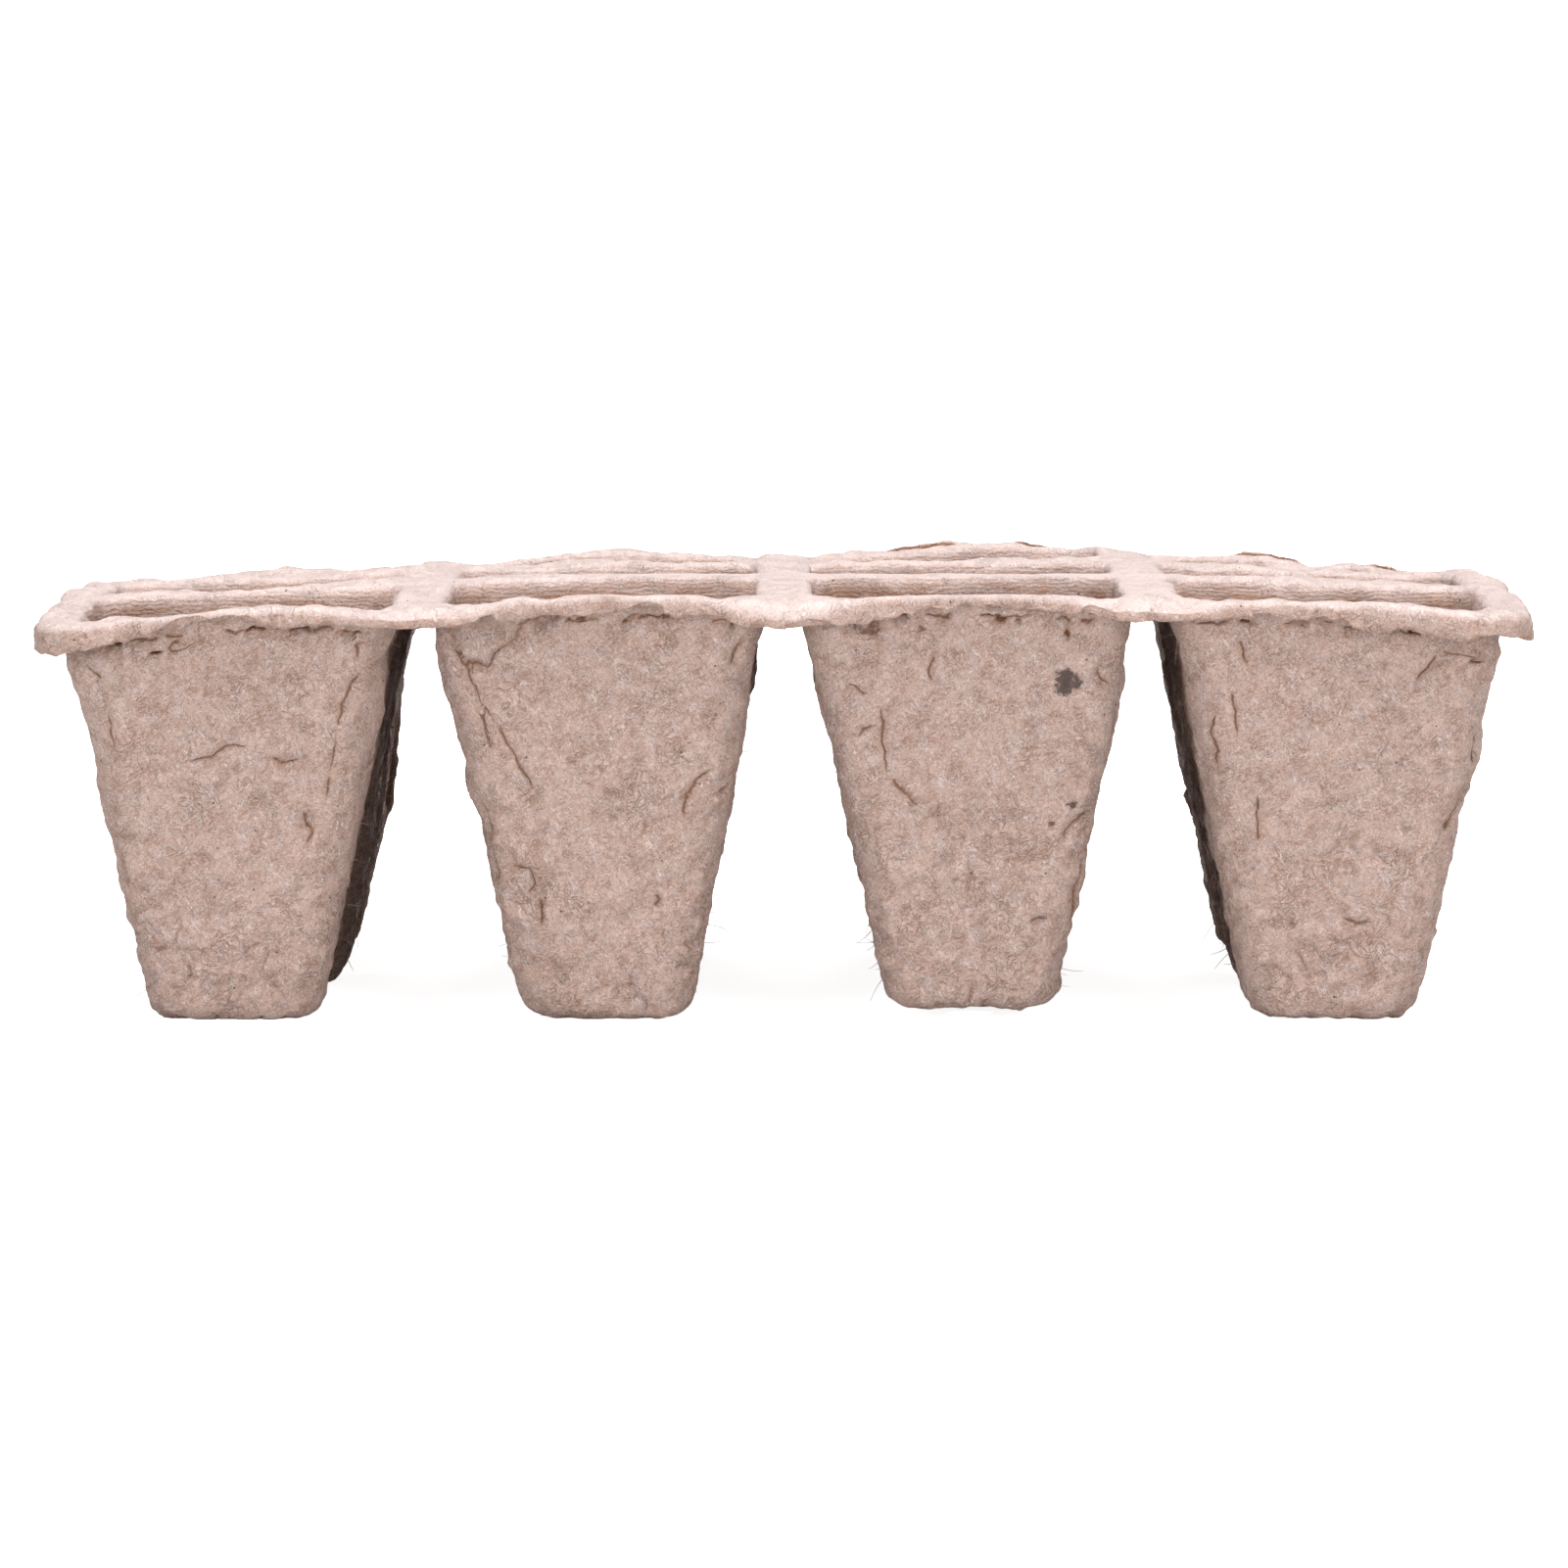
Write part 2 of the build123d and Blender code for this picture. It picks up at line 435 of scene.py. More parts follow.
def pot_lattice(ring_count, column_count):
    """A closed tube of rings, where each point holds its column in its bearing and its ring in its height."""
    bm = bmesh.new()
    bmesh.ops.create_circle(bm, segments=column_count, radius=1.0)
    first = list(bm.edges)
    edges = first
    for _ in range(1, ring_count):
        made = bmesh.ops.extrude_edge_only(bm, edges=edges)["geom"]
        corners = {v for v in made if isinstance(v, bmesh.types.BMVert)}
        bmesh.ops.translate(bm, verts=list(corners), vec=(0, 0, 1))
        edges = [e for e in made if isinstance(e, bmesh.types.BMEdge) and corners.issuperset(e.verts)]
    bmesh.ops.bridge_loops(bm, edges=first + edges)
    mesh = bpy.data.meshes.new("pot_lattice")
    bm.to_mesh(mesh)
    bm.free()
    return mesh


def grid_normals(points):
    """Outward directions of a closed grid of points."""
    around = np.roll(points, -1, axis=1) - np.roll(points, 1, axis=1)
    onward = np.roll(points, -1, axis=0) - np.roll(points, 1, axis=0)
    normal = np.cross(around, onward)
    return normal / np.maximum(np.linalg.norm(normal, axis=-1), 1e-9)[..., None]


# Three kinds of creases, by width, depth and how far the one lip stands out, and where they run on each pot
# of the front row: points across the wall from its middle, and up from the foot.
FINE, WIDE, HOLE = (0.40, 0.35, 0.25), (0.55, 0.6, 0.45), (0.38, 1.0, 0.6)
FRONT_CREASES = (
    (
        (WIDE, ((16.3, 44.4), (14.6, 41.6), (13.3, 38.8), (12.7, 36.6))),
        (FINE, ((12.7, 36.0), (12.4, 33.0), (11.9, 30.2), (11.4, 27.4))),
        (FINE, ((-14.9, 40.2), (-14.8, 36.6), (-14.5, 34.6))),
        (FINE, ((-5.5, 32.6), (-2.4, 33.9), (0.2, 34.9), (2.4, 34.5))),
        (FINE, ((4.6, 33.5), (6.5, 32.4), (8.4, 32.8))),
        (HOLE, ((-10.2, 46.9), (-9.0, 47.0), (-7.9, 46.8))),
        (HOLE, ((8.7, 47.9), (9.9, 48.0))),
        (FINE, ((-8.0, 48.3), (-6.0, 47.2), (-4.0, 48.0), (-2.6, 47.4))),
        (WIDE, ((15.0, 48.6), (15.9, 46.9), (16.2, 45.6))),
        (WIDE, ((-17.4, 46.6), (-16.1, 45.6), (-15.4, 43.8))),
        (FINE, ((8.6, 26.5), (9.6, 23.8), (9.0, 21.8))),
    ),
    (
        (WIDE, ((-18.1, 46.9), (-16.0, 43.8), (-14.1, 39.4), (-12.5, 37.3))),
        (FINE, ((-12.5, 37.3), (-10.9, 33.4), (-9.5, 30.7), (-8.1, 28.3))),
        (FINE, ((-14.9, 38.8), (-13.9, 35.4), (-13.3, 33.5))),
        (WIDE, ((-17.6, 47.6), (-15.6, 44.6), (-13.6, 43.8), (-11.6, 46.2), (-8.6, 47.8))),
        (HOLE, ((-11.4, 47.7), (-10.2, 48.1))),
        (HOLE, ((-3.4, 48.0), (-2.4, 48.2))),
        (HOLE, ((2.7, 48.6), (3.6, 48.3))),
        (HOLE, ((15.9, 48.6), (16.9, 48.5))),
        (WIDE, ((18.2, 46.6), (17.4, 45.2), (16.8, 43.8))),
        (FINE, ((13.6, 31.0), (11.6, 29.8), (10.4, 27.9), (9.8, 24.3))),
        (FINE, ((17.0, 30.6), (15.4, 28.2), (13.6, 27.6))),
        (FINE, ((6.4, 15.6), (6.9, 14.6), (6.2, 13.6))),
        (FINE, ((-8.0, 15.4), (-7.7, 13.2), (-7.9, 11.4))),
        (FINE, ((-11.6, 20.0), (-9.2, 19.2), (-8.4, 17.0), (-9.8, 15.6))),
    ),
    (
        (FINE, ((-11.2, 39.0), (-10.7, 36.6), (-10.8, 32.7), (-10.2, 29.8))),
        (FINE, ((-10.2, 29.8), (-8.6, 27.9), (-6.6, 25.9))),
        (FINE, ((-15.0, 41.4), (-13.8, 40.8), (-12.9, 39.4))),
        (FINE, ((-14.1, 34.3), (-13.0, 35.6), (-11.7, 36.0))),
        (WIDE, ((15.8, 25.9), (14.2, 24.6), (12.7, 23.6), (11.3, 21.2))),
        (FINE, ((15.4, 25.4), (14.9, 23.6), (13.8, 22.2))),
        (HOLE, ((5.6, 48.4), (6.6, 48.0))),
        (HOLE, ((12.0, 47.8), (13.2, 47.3))),
        (FINE, ((-14.0, 47.2), (-10.0, 47.9), (-7.0, 48.4))),
        (FINE, ((-6.5, 47.0), (-5.4, 47.9), (-3.8, 48.0))),
        (FINE, ((-4.4, 44.6), (-4.9, 42.6), (-4.4, 41.0))),
        (FINE, ((15.6, 44.0), (16.6, 41.8), (17.4, 40.8))),
        (FINE, ((7.0, 11.4), (8.8, 12.0), (10.0, 11.6))),
    ),
    (
        (FINE, ((-13.6, 41.2), (-12.8, 37.5), (-12.4, 34.3))),
        (FINE, ((-9.9, 28.0), (-9.7, 25.2), (-9.5, 21.6))),
        (FINE, ((16.9, 31.0), (15.6, 28.4), (14.4, 25.4), (13.1, 23.1))),
        (WIDE, ((11.8, 46.3), (10.6, 44.2), (9.1, 42.2))),
        (FINE, ((0.8, 12.9), (2.4, 12.0), (4.4, 12.4))),
        (FINE, ((-12.0, 47.2), (-12.0, 44.8), (-11.8, 43.6))),
        (HOLE, ((15.6, 45.6), (17.4, 45.4))),
        (WIDE, ((12.0, 46.6), (14.0, 46.0), (16.4, 46.4))),
        (FINE, ((-15.2, 38.5), (-15.6, 35.0), (-14.6, 31.0))),
    ),
)
# Dark spots on the front row: the pot's column, across, up, and radius.
FRONT_SPOTS = (
    (1, 14.3, 37.4, 0.55),
    (2, 12.0, 41.4, 1.9), (2, 10.6, 40.6, 0.9), (2, 12.4, 26.1, 0.6), (2, 9.9, 23.8, 0.5),
)
# Raised flaps of pulp on the front row: the pot's column, three corners, and how far they stand out.
FRONT_FLAPS = (
    (1, (-18.0, 48.6), (-13.6, 43.6), (-8.3, 48.6), 0.9),
    (0, (13.6, 48.8), (15.9, 45.2), (17.6, 48.8), 0.7),
    (0, (-17.8, 48.4), (-15.9, 44.6), (-14.2, 48.4), 0.8),
    (3, (11.4, 46.9), (17.2, 45.4), (17.0, 47.6), 0.6),
    (2, (9.6, 48.8), (12.4, 46.4), (14.4, 48.8), 0.6),
)
# Where the back border's edge is torn, along the tray.
BACK_TEARS = ((13.5, 23.5), (30.5, 35.5), (60.0, 69.5), (78.0, 82.5))
# Marks fade out between these heights, so that none comes through the thin hem.
MARKS_END = (49.2, 50.1)
# How far from a wall's middle made-up creases reach, at the foot and more for each millimetre up.
CREASE_REACH, CREASE_SPREAD = 8.976, 0.176
# How wide a crease is torn, and how far from it counts as no crease.
TORN_WIDTH, NO_SEAM = 0.7, 2.0


def flap_lift(across, height, corners, lift):
    """How far a flap pushes each point out. Its corners go against the clock."""
    inside = np.full(across.shape, np.inf)
    for (x0, z0), (x1, z1) in zip(corners, corners[1:] + corners[:1]):
        off = ((x1 - x0) * (height - z0) - (z1 - z0) * (across - x0)) / math.dist((x0, z0), (x1, z1))
        inside = np.minimum(inside, off)
    return lift * smooth(inside, -0.3, 0.5)


def hem_cracks(chance, centre_x, front, sizes):
    """Short level cracks and holes where the wall meets the hem."""
    lines = []
    for _ in range(chance.integers(14, 20)):
        start = chance.uniform(-17, 14)
        across = start + np.arange(chance.integers(2, 5)) * chance.uniform(0.7, 1.5)
        hang = np.interp(centre_x + across, HEM_PLACES, HEM_HEIGHTS) if front else HEM_PLAIN
        highest = np.minimum(sizes.height - hang - 0.5, MARKS_END[0])
        height = highest + chance.uniform(-0.45, 0.25, len(across))
        kind = (FINE, WIDE, HOLE)[chance.choice(3, p=(0.55, 0.33, 0.12))]
        lines.append((kind, tuple(zip(across, height))))
    return lines


def chance_creases(chance):
    """A few near-upright creases on a wall that the picture doesn't show."""
    lines = []
    for _ in range(chance.integers(4, 8)):
        height = chance.uniform(20, 46)
        reach = CREASE_REACH + CREASE_SPREAD * height
        across = chance.choice((-1, 1)) * reach * chance.uniform(0.45, 1.0)
        points = [(across, height)]
        for _ in range(chance.integers(2, 5)):
            across -= np.sign(across) * chance.uniform(0.1, 1.3)
            height -= chance.uniform(1.8, 3.8)
            points.append((across, height))
        lines.append(((FINE, WIDE)[chance.integers(2)], points))
    return lines


def crease_marks(across, height, lines):
    """How far creases push a wall's points out, how torn and holed they are, and how far beside a crease."""
    pushed, torn, hole = np.zeros((3, *across.shape))
    seam = np.full(across.shape, NO_SEAM)
    for (width, deep, raised), points in lines:
        best = np.full(across.shape, np.inf)
        best_side = np.ones(across.shape)
        best_share = np.zeros(across.shape)
        runs = [math.dist(a, b) for a, b in zip(points, points[1:])]
        done = 0.0
        for (x0, z0), (x1, z1), run in zip(points, points[1:], runs):
            share = np.clip(((across - x0) * (x1 - x0) + (height - z0) * (z1 - z0)) / run ** 2, 0, 1)
            away_x = across - x0 - share * (x1 - x0)
            away_z = height - z0 - share * (z1 - z0)
            away = np.hypot(away_x, away_z)
            nearer = away < best
            best = np.where(nearer, away, best)
            best_side = np.where(nearer, np.sign((x1 - x0) * away_z - (z1 - z0) * away_x), best_side)
            best_share = np.where(nearer, (done + share * run) / sum(runs), best_share)
            done += run
        # A crease is shallow at both ends, and its lip stands beside it.
        fade = 0.15 + 0.85 * smooth(best_share, 0, 0.2) * (1 - smooth(best_share, 0.8, 1))
        pushed -= deep * fade * ridge(best, width)
        pushed += raised * fade * ridge(best * best_side - 1.7 * width - 0.3, 1.2 * width + 0.3)
        if deep >= HOLE[1]:
            hole = np.maximum(hole, fade * ridge(best, width))
        else:
            torn = np.maximum(torn, fade * ridge(best, TORN_WIDTH))
            seam = np.where(best < np.abs(seam), best * best_side, seam)
    return pushed, torn, hole, seam


def pot_centre(column, row, sizes):
    """The middle of a pot, seen from above."""
    return np.array((column - (POTS_ACROSS - 1) / 2, row - (len(ROW_NAMES) - 1) / 2)) * sizes.pitch


def smooth_pot(centre, borders, ways, sizes):
    """A pot of smooth pulp: its points, ring by ring, their zones, and which columns end in the hem."""
    corner_centre, way, side, _, turned = ways
    border = np.array(borders, dtype=float)
    here, after = border[side], border[(side + 1) % 4]
    hemmed = np.where(turned < 0.5, here, np.where(turned > 0.5, after, np.maximum(here, after)))
    ends = outline(centre, ways, borders, sizes)
    rings = cup_rings(sizes)
    half, corner, height = (np.array([ring[i] for ring in rings])[:, None] for i in range(3))
    cup_flat = centre + corner_centre * (half - corner)[..., None] + way * corner[..., None]
    cup = np.concatenate((cup_flat, np.broadcast_to(height[..., None], cup_flat.shape[:2] + (1,))), axis=-1)
    # The deck's top comes first, from its outline in to the mouth.
    share = np.linspace(1, 0, DECK_RINGS, endpoint=False)[:, None, None]
    deck_flat = between(cup_flat[0], ends, share)
    deck = roll_over(deck_flat, np.zeros(deck_flat.shape[:2]), sizes)
    # Its underside comes last, from the outer wall out to the outline.
    share = np.linspace(0, 1, UNDER_RINGS + 1)[1:, None]
    wall_top = cup_flat[-1]
    reach = np.linalg.norm(ends - wall_top, axis=-1)
    radius = np.minimum(sizes.under_round, reach)
    hollow = radius - np.sqrt(np.maximum(radius ** 2 - np.maximum(radius - reach * share, 0) ** 2, 0))
    thick = between(sizes.deck, sizes.hem_edge, hemmed * share)
    under = roll_over(between(wall_top, ends, share[..., None]), thick + hollow, sizes)
    zones = ["deck"] * DECK_RINGS + [ring[3] for ring in rings] + ["under"] * UNDER_RINGS
    all_round = np.ones(len(side))
    zone = {name: np.array([part == name for part in zones])[:, None] * all_round for name in set(zones)}
    return np.concatenate((deck, cup, under)), zone, hemmed


# The pulp's lumps: the height of each layer, how much higher it is low on a wall, its size and its seed.
PULP_LUMPS = ((0.34, 0.0, 8.0, 11), (0.26, 0.0, 3.6, 12), (0.15, 0.20, 2.0, 13), (0.08, 0.05, 1.1, 14))


def pulp_lumps(points, zone, sizes):
    """How far lumps, wrinkles and folds push the pulp out."""
    top = zone["deck"] + zone["mouth"]
    rim = top + zone["under"]
    low = 1 - smooth(points[..., 2], 4, 44)
    lift = sum((height + more * low) * lumps(points, size, seed) for height, more, size, seed in PULP_LUMPS)
    # Wrinkles run where one noise crosses zero, in patches set by another.
    wrinkle = ridge(lumps(points, 3.4, 15), 0.07) * smooth(lumps(points, 9.0, 16), -0.15, 0.35)
    lift -= zone["outer"] * (0.14 + 0.28 * low) * wrinkle
    lift *= 0.55 + 0.45 * (zone["outer"] + zone["under"]) + 0.15 * rim - 0.3 * zone["floor"]
    # Inside, the wall lies in level folds.
    lift += zone["inner"] * 0.55 * lumps(points * (0.3, 0.3, 1.6), 3.2, 20)
    # The webs and the mouths' edges wander more than the walls, but less towards the back border.
    lift += top * rough(points, (0.30, 10.0, 17), (0.28, 4.5, 18))
    web = top * (1 - smooth(points[..., 1], sizes.half_y - 12, sizes.half_y - 4))
    return lift + web * 0.5 * lumps(points, 6.5, 25) + rim * 0.14 * lumps(points, 1.5, 26)


def wall_marks(points, zone, way, column, row, sizes):
    """How far the marks of the four outer walls push them out, and how torn, holed and stained they are."""
    outer = zone["outer"] + zone["under"]
    lift, torn, hole, spots = np.zeros((4, *points.shape[:2]))
    seam = np.full(points.shape[:2], NO_SEAM)
    centre = pot_centre(column, row, sizes)
    local = points[..., :2] - centre
    wall_top = sizes.outside(sizes.height)
    # Creases wander, so they're looked up from places that noise has moved.
    stray_across = rough(points, (0.5, 2.6, 21), (0.25, 1.0, 22))
    stray_up = points[..., 2] + rough(points, (0.5, 2.6, 23), (0.2, 1.0, 24))
    for number, (out, at_border) in enumerate(zip(SIDES, borders_of(column, row))):
        across, forward = local @ SIDES[(number + 1) % 4], local @ out
        near = smooth(way @ out, 0.3, 0.7) * outer * smooth(forward, 2, 8)
        near = near * (1 - zone["under"] * smooth(forward, wall_top + 1, wall_top + 2.5))
        near = near * (1 - smooth(points[..., 2], *MARKS_END))
        chance = np.random.default_rng(100 + 16 * row + 4 * column + number)
        front = number == 0 and row == 0
        lines = list(FRONT_CREASES[column]) if front else chance_creases(chance)
        if at_border:
            lines += hem_cracks(chance, centre[0], front, sizes)
        pushed, marks, gone, beside = crease_marks(across + stray_across, stray_up, lines)
        if front:
            for _, *corners, raised in (flap for flap in FRONT_FLAPS if flap[0] == column):
                pushed += flap_lift(across + stray_across, stray_up, corners, raised)
            for _, x, z, size in (spot for spot in FRONT_SPOTS if spot[0] == column):
                away = np.hypot(across - x, points[..., 2] - z) / size
                spots = np.maximum(spots, near * (1 - smooth(away, 0.5, 1.25)))
        lift += near * pushed
        seam = np.where(near * marks > torn, beside, seam)
        torn = np.maximum(torn, near * marks)
        hole = np.maximum(hole, near * gone)
    return lift, {"torn": torn, "hole": hole, "seam": seam, "spots": spots}


def back_tears(points, zone, sizes):
    """Here and there the back border is torn and stands up in a thin edge, with painted shade for its
    underside: how far, and how dark.
    """
    past = border_of(points[..., :2], sizes)[0] + rough(points, (0.9, 2.6, 27), (0.4, 0.9, 28))
    lift, dark = np.zeros((2, *points.shape[:2]))
    at_back = zone["deck"] * smooth(points[..., 1], sizes.half_y - 4, sizes.half_y - 3)
    for low_x, high_x in BACK_TEARS:
        window = smooth(points[..., 0], low_x - 1, low_x + 1.5)
        window = at_back * window * (1 - smooth(points[..., 0], high_x - 1.5, high_x + 1))
        lift += 0.55 * window * ridge(past + 0.3, 0.7)
        # Painted shade just inside the torn edge.
        dark = np.maximum(dark, 0.85 * window * ridge(past + 1.1, 0.6))
    return lift, dark


def borders_of(column, row):
    """Which of a pot's four sides lie on the tray's border."""
    return row == 0, column == POTS_ACROSS - 1, row == len(ROW_NAMES) - 1, column == 0


def build_pot(column, row, sizes, ways):
    """The places of one pot's points, ring by ring, with what its material needs to know of each."""
    borders = borders_of(column, row)
    points, zone, hemmed = smooth_pot(pot_centre(column, row, sizes), borders, ways, sizes)
    # The pulp is rough along each point's own normal, which stands upright at a tear line.
    normal = grid_normals(points)
    pull = (1 - hemmed)[:, None]
    normal[0] = between(normal[0], np.array((0, 0, 1)), pull)
    normal[-1] = between(normal[-1], np.array((0, 0, -1)), pull)
    marks_lift, marks = wall_marks(points, zone, ways[1], column, row, sizes)
    lift = pulp_lumps(points, zone, sizes) + marks_lift
    if borders[2]:
        tear_lift, dark = back_tears(points, zone, sizes)
        lift += tear_lift
        # The torn back edge's painted shade joins the holes' mask.
        marks["hole"] = np.maximum(marks["hole"], dark)
    # The mould's screen marks the inner walls, which also get painted fill light and painted shade. What
    # faces up gets painted top light, and so does the mouth near the deck.
    below = sizes.height - points[..., 2]
    mouth = (zone["mouth"] + zone["inner"]) * (1 - smooth(below, 0.3, 3.0))
    looks = {
        "top": zone["deck"] * smooth(normal[..., 2], 0.25, 0.93) + mouth,
        "inside": zone["inner"] + zone["floor"] + zone["mouth"] * smooth(below, 0.1, 0.9),
        **marks,
    }
    return points + normal * lift[..., None], looks, hemmed


# The tray's bow: how far its deck stands up along the tray, from front to back, and at the back border.
BOW_PLACES = (-92, -67, -45, -22, 0, 22, 45, 67, 92)
BOW_RISES = (-2.0, -0.7, 0.3, 1.2, 1.2, 1.4, 1.3, 0.2, -0.5)
BOW_DEPTHS, BOW_DEPTH_RISES = (-66, -22, 22, 66), (0.0, 0.5, -0.6, -1.6)
BACK_PLACES = (-92, -82, -58, -50, -38, -30, -20, -14, -4, 6, 14, 22, 30, 42, 49, 56, 65, 71, 76, 84, 92)
BACK_RISES = (
    -1.2, -1.0, -1.2, -0.3, -0.8, -0.2, -0.3, -0.4, -0.4, -0.3, -0.4, -0.1, 0.7, 0.6, -0.4, 0.0, -0.3, -1.7,
    -0.4, -1.2, -0.8,
)
# How far the front feet stand off the floor, and how much of that is left further back.
FOOT_PLACES, FOOT_RISES = (-67.5, -22.5, 22.5, 67.5), (0.0, 0.0, 1.4, 0.2)
FOOT_DEPTHS, FOOT_SHARES = (-45, 45), (1.0, 0.3)
# How high the deck's border arches in front of each pot, and how far inward.
ARCH_RISE, ARCH_DEPTH = 0.5, 9
# Above this height over the deck what stands up is squeezed.
SQUEEZE_FROM, SQUEEZE = 0.9, 0.6
# How far each column of pots leans to the side, at these heights.
SWAY_HEIGHTS = (0, 16, 24, 34, 42, 46, 49.5)
SWAYS = (
    (-0.5, -0.6, -0.5, -0.4, -0.6, -1.1, 0.0),
    (0.6, 0.3, 0.4, 0.0, -0.5, -0.6, 0.0),
    (0.7, 0.7, 0.6, 0.5, 0.3, 0.0, 0.0),
    (0.4, 0.6, 0.5, 0.6, 0.8, 1.0, 0.0),
)
# Behind the front row, the first column's pots lean the other way.
SWAY_BEHIND = (0.5, 0.6, 0.0, -0.8, -1.0, -0.8, 0.0)


def warp(points, sizes, row, column):
    """The tray's bow: its ends and its back lie lower than its middle, and two feet stand off the floor."""
    x, y, z = points[..., 0], points[..., 1], points[..., 2]
    high = np.interp(x, BOW_PLACES, BOW_RISES) + np.interp(y, BOW_DEPTHS, BOW_DEPTH_RISES)
    high = high + np.interp(x, BACK_PLACES, BACK_RISES) * smooth(y, 24, 62)
    low = np.interp(x, FOOT_PLACES, FOOT_RISES) * np.interp(y, FOOT_DEPTHS, FOOT_SHARES)
    # In front of each pot the deck's border rises in a low arch.
    inward = border_of(points[..., :2], sizes)[0]
    turned = 2 * math.pi * (x - sizes.half_x) / sizes.pitch + math.pi
    middle = np.cos(turned) * smooth(inward, -ARCH_DEPTH, -1)
    high = high + ARCH_RISE * middle * smooth(np.abs(y), sizes.half_y - ARCH_DEPTH, sizes.half_y - 1)
    share = np.clip(z / sizes.height, 0, 1)
    moved = points.copy()
    moved[..., 0] += np.interp(z, SWAY_HEIGHTS, SWAY_BEHIND if row and not column else SWAYS[column])
    moved[..., 2] += low * (1 - share) + high * share ** 1.5
    top = sizes.height + SQUEEZE_FROM
    over = np.maximum(moved[..., 2] - top, 0)
    moved[..., 2] = np.maximum(np.minimum(moved[..., 2], top) + SQUEEZE * np.tanh(over / SQUEEZE), 0)
    return moved


def hem_lip(points, hemmed):
    """The rings that round off the edge between the deck's top and its underside."""
    top, bottom = points[0], points[-1]
    outward = top - points[1]
    outward /= np.maximum(np.linalg.norm(outward, axis=-1), 1e-9)[:, None]
    middle, arm = (top + bottom) / 2, (bottom - top) / 2
    bulge = outward * (np.linalg.norm(arm, axis=-1) * hemmed)[:, None]
    angles = np.linspace(0, math.pi, LIP_RINGS + 2)[-2:0:-1]
    return np.array([middle - arm * math.cos(angle) + bulge * math.sin(angle) for angle in angles])


class PEAT_OT_pots(bpy.types.Operator):
    """Build the rough pulp pots over the plain ones"""

    bl_idname = "peat.pots"
    bl_label = "Build pots"

    def execute(self, context):
        sizes = Sizes(context.scene.pot_sizes)
        ways = column_ways()
        ring_count = DECK_RINGS + len(cup_rings(sizes)) + UNDER_RINGS + LIP_RINGS
        column_count = len(ways[0])
        lattice = pot_lattice(ring_count, column_count)
        place = np.zeros(len(lattice.vertices) * 3)
        lattice.vertices.foreach_get("co", place)
        x, y, z = place.reshape(-1, 3).T
        columns = np.rint(np.arctan2(y, x) / (2 * math.pi) * column_count).astype(int) % column_count
        order = (np.rint(z).astype(int), columns)
        material = pulp(context.scene.pulp_look)
        for row, row_name in enumerate(ROW_NAMES):
            for column in range(POTS_ACROSS):
                points, looks, hemmed = build_pot(column, row, sizes, ways)
                points = warp(points, sizes, row, column)
                points = np.concatenate((points, hem_lip(points, hemmed)))
                name = f"{row_name}_pot_{column + 1}"
                mesh = lattice.copy()
                mesh.name = name
                mesh.vertices.foreach_set("co", (points[order] * MM).ravel())
                looks = {key: np.concatenate((look, [look[0]] * LIP_RINGS)) for key, look in looks.items()}
                looks["edge"] = self.edge_share(points, hemmed)
                for key, look in looks.items():
                    mesh.attributes.new(key, "FLOAT", "POINT").data.foreach_set("value", look[order])
                mesh.update()
                bm = bmesh.new()
                bm.from_mesh(mesh)
                if bm.calc_volume(signed=True) < 0:
                    bmesh.ops.reverse_faces(bm, faces=bm.faces)
                bm.to_mesh(mesh)
                bm.free()
                mesh.shade_smooth()
                mesh.set_sharp_from_angle(angle=math.radians(70))
                mesh.materials.append(material)
                piece = bpy.data.objects.new(name + "_pulp", mesh)
                context.scene.collection.objects.link(piece)
                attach(piece, "root")
                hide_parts(name)
        bpy.data.meshes.remove(lattice)
        return {"FINISHED"}

    def edge_share(self, points, hemmed):
        """1 on the hem's lip, less on the two rings above and below it, and 0 elsewhere."""
        share = np.zeros(points.shape[:2])
        share[-LIP_RINGS:] = hemmed
        share[[0, -LIP_RINGS - 1]] = 0.7 * hemmed
        share[[1, -LIP_RINGS - 2]] = 0.3 * hemmed
        return share


# Loose fibres stand on walls between two heights, and under the rim from a third one up. These shares of
# their count stand on all walls, on those that face sideways, and under the rim.
FIBRES_FROM, FIBRES_TO, RIM_FIBRES_FROM = 3 * MM, 50 * MM, 47 * MM
FIBRE_SHARES = (0.35, 0.65, 0.4)


